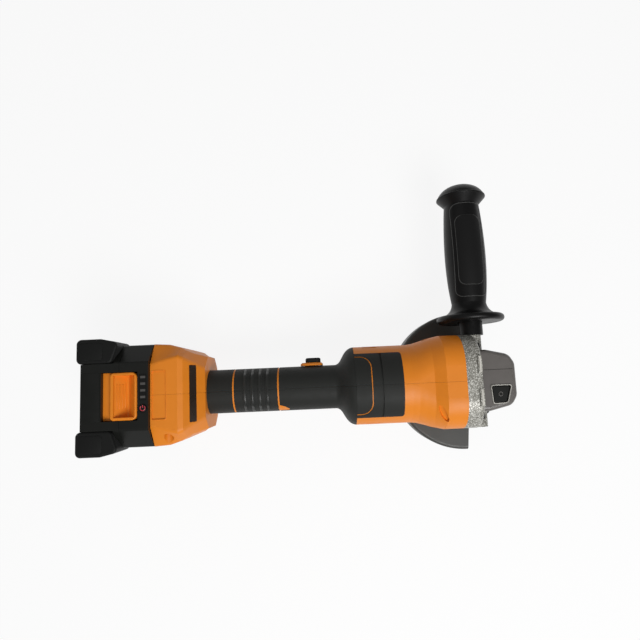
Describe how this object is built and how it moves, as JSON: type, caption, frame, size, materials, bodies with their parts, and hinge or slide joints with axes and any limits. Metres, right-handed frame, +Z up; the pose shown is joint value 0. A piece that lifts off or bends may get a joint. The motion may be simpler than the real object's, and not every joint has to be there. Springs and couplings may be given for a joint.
{
  "type": "cordless angle grinder",
  "caption": "Cordless angle grinder with orange two-shell body, black soft grip, grey gear head, wheel guard, side handle and slide-on battery.",
  "frame": {"origin": "centre of the spindle's lower end face", "axes": "+X forward along the motor axis, from battery to gear head; +Y to the tool's left, where the side handle is; +Z up along the spindle axis"},
  "size_m": [0.3537, 0.2399, 0.1168],
  "materials": {
    "orange_shell": "moulded glass-filled nylon, satin orange",
    "black_overmould": "soft overmould, matt black",
    "black_plastic": "moulded plastic, fine-grained black",
    "strip_black": "dark film, semi-gloss",
    "cast_grey": "die-cast aluminium, light grey sparkle paint",
    "nose_grey": "smooth dark grey cover",
    "dark_screw": "black oxide steel",
    "steel": "turned steel",
    "guard_paint": "powder-coated steel sheet",
    "laminations": "stacked electrical steel",
    "copper": "enamelled copper wire",
    "magnet": "nickel-plated magnet",
    "board_green": "solder-masked circuit board",
    "cell_wrap": "shrink-wrapped cell",
    "felt": "felt",
    "gauge_red": "translucent red button",
    "gauge_grey": "frosted light window",
    "bumper_rubber": "hard rubber, matt black",
    "handle_black": "moulded plastic, black"
  },
  "bodies": {
    "housing": {"body_shell_left": "orange_shell", "body_shell_right": "orange_shell", "grip_skin_left": "black_overmould", "grip_skin_right": "black_overmould", "saddle_pad_left": "black_overmould", "saddle_pad_right": "black_overmould", "shell_screws": "dark_screw", "status_strip": "strip_black", "terminal_block": "black_plastic", "terminal_blades": "steel", "controller_tray": "cast_grey", "controller_board": "board_green", "switch_block": "black_plastic", "stator_core": "laminations", "stator_coils": "copper", "sensor_board": "board_green", "motor_bearing_outers": "steel", "gear_case": "cast_grey", "nose_cover": "nose_grey", "gear_case_screws": "dark_screw", "bearing_plate": "cast_grey", "bearing_plate_screws": "dark_screw", "spindle_bearing_outer": "steel", "spindle_bush": "steel", "spindle_seal": "felt", "lock_spring": "steel"},
    "spindle_set": {"spindle": "steel", "ring_gear": "steel", "spindle_bearing_inner": "steel", "inner_flange": "steel"},
    "wheel_nut": {"lock_nut": "steel"},
    "rotor": {"rotor_shaft": "steel", "rotor_core": "laminations", "rotor_magnets": "magnet", "fan": "black_plastic", "pinion": "steel", "motor_bearing_inners": "steel"},
    "guard": {"guard_hood": "guard_paint", "guard_band": "guard_paint", "guard_clamp_screw": "dark_screw", "guard_clamp_nut": "dark_screw"},
    "spindle_lock": {"lock_button": "black_plastic", "lock_pin": "steel"},
    "switch": {"switch_slider": "orange_shell", "switch_pad": "black_plastic"},
    "battery": {"battery_tray": "black_plastic", "battery_cover": "black_plastic", "battery_cells": "cell_wrap", "cell_strips": "steel", "battery_board": "board_green", "battery_screws": "dark_screw", "corner_bumpers": "bumper_rubber", "gauge_window": "strip_black", "gauge_lights": "gauge_grey", "latch_spring": "steel"},
    "latch": {"battery_latch": "orange_shell"},
    "gauge_key": {"gauge_button": "gauge_red"},
    "side_handle": {"handle_grip": "handle_black", "handle_pads": "handle_black", "handle_stud": "steel"}
  },
  "joints": [
    {"name": "spindle_spin", "type": "hinge", "parent": "housing", "child": "spindle_set", "pos_m": [0, 0, 0], "axis": [0, 0, 1], "continuous": true},
    {"name": "rotor_spin", "type": "hinge", "parent": "housing", "child": "rotor", "pos_m": [-0.05, 0, 0.065], "axis": [1, 0, 0], "continuous": true},
    {"name": "wheel_nut_unscrew", "type": "slide", "parent": "spindle_set", "child": "wheel_nut", "axis": [0, 0, -1], "range_m": [0, 0.012]},
    {"name": "guard_turn", "type": "hinge", "parent": "housing", "child": "guard", "pos_m": [0, 0, 0.025], "axis": [0, 0, 1], "range_deg": [-90, 90]},
    {"name": "spindle_lock_press", "type": "slide", "parent": "housing", "child": "spindle_lock", "axis": [0, 0, -1], "range_m": [0, 0.004], "stiffness_N_per_m": 800, "springref_m": -0.004, "deforming": ["lock_spring"]},
    {"name": "switch_slide", "type": "slide", "parent": "housing", "child": "switch", "axis": [1, 0, 0], "range_m": [0, 0.006]},
    {"name": "battery_slide", "type": "slide", "parent": "housing", "child": "battery", "axis": [0, 0, 1], "range_m": [0, 0.09]},
    {"name": "battery_latch_pull", "type": "slide", "parent": "battery", "child": "latch", "axis": [-1, 0, 0], "range_m": [0, 0.0045], "stiffness_N_per_m": 600, "springref_m": -0.004, "deforming": ["latch_spring"]},
    {"name": "gauge_button_press", "type": "slide", "parent": "battery", "child": "gauge_key", "axis": [0, 0, -1], "range_m": [0, 0.0008], "stiffness_N_per_m": 500, "springref_m": -0.001},
    {"name": "side_handle_unscrew", "type": "slide", "parent": "housing", "child": "side_handle", "axis": [0, 1, 0], "range_m": [0, 0.02]}
  ],
  "couplings": [
    {"joint": "rotor_spin", "follows": "spindle_spin", "ratio": -3.1667}
  ]
}
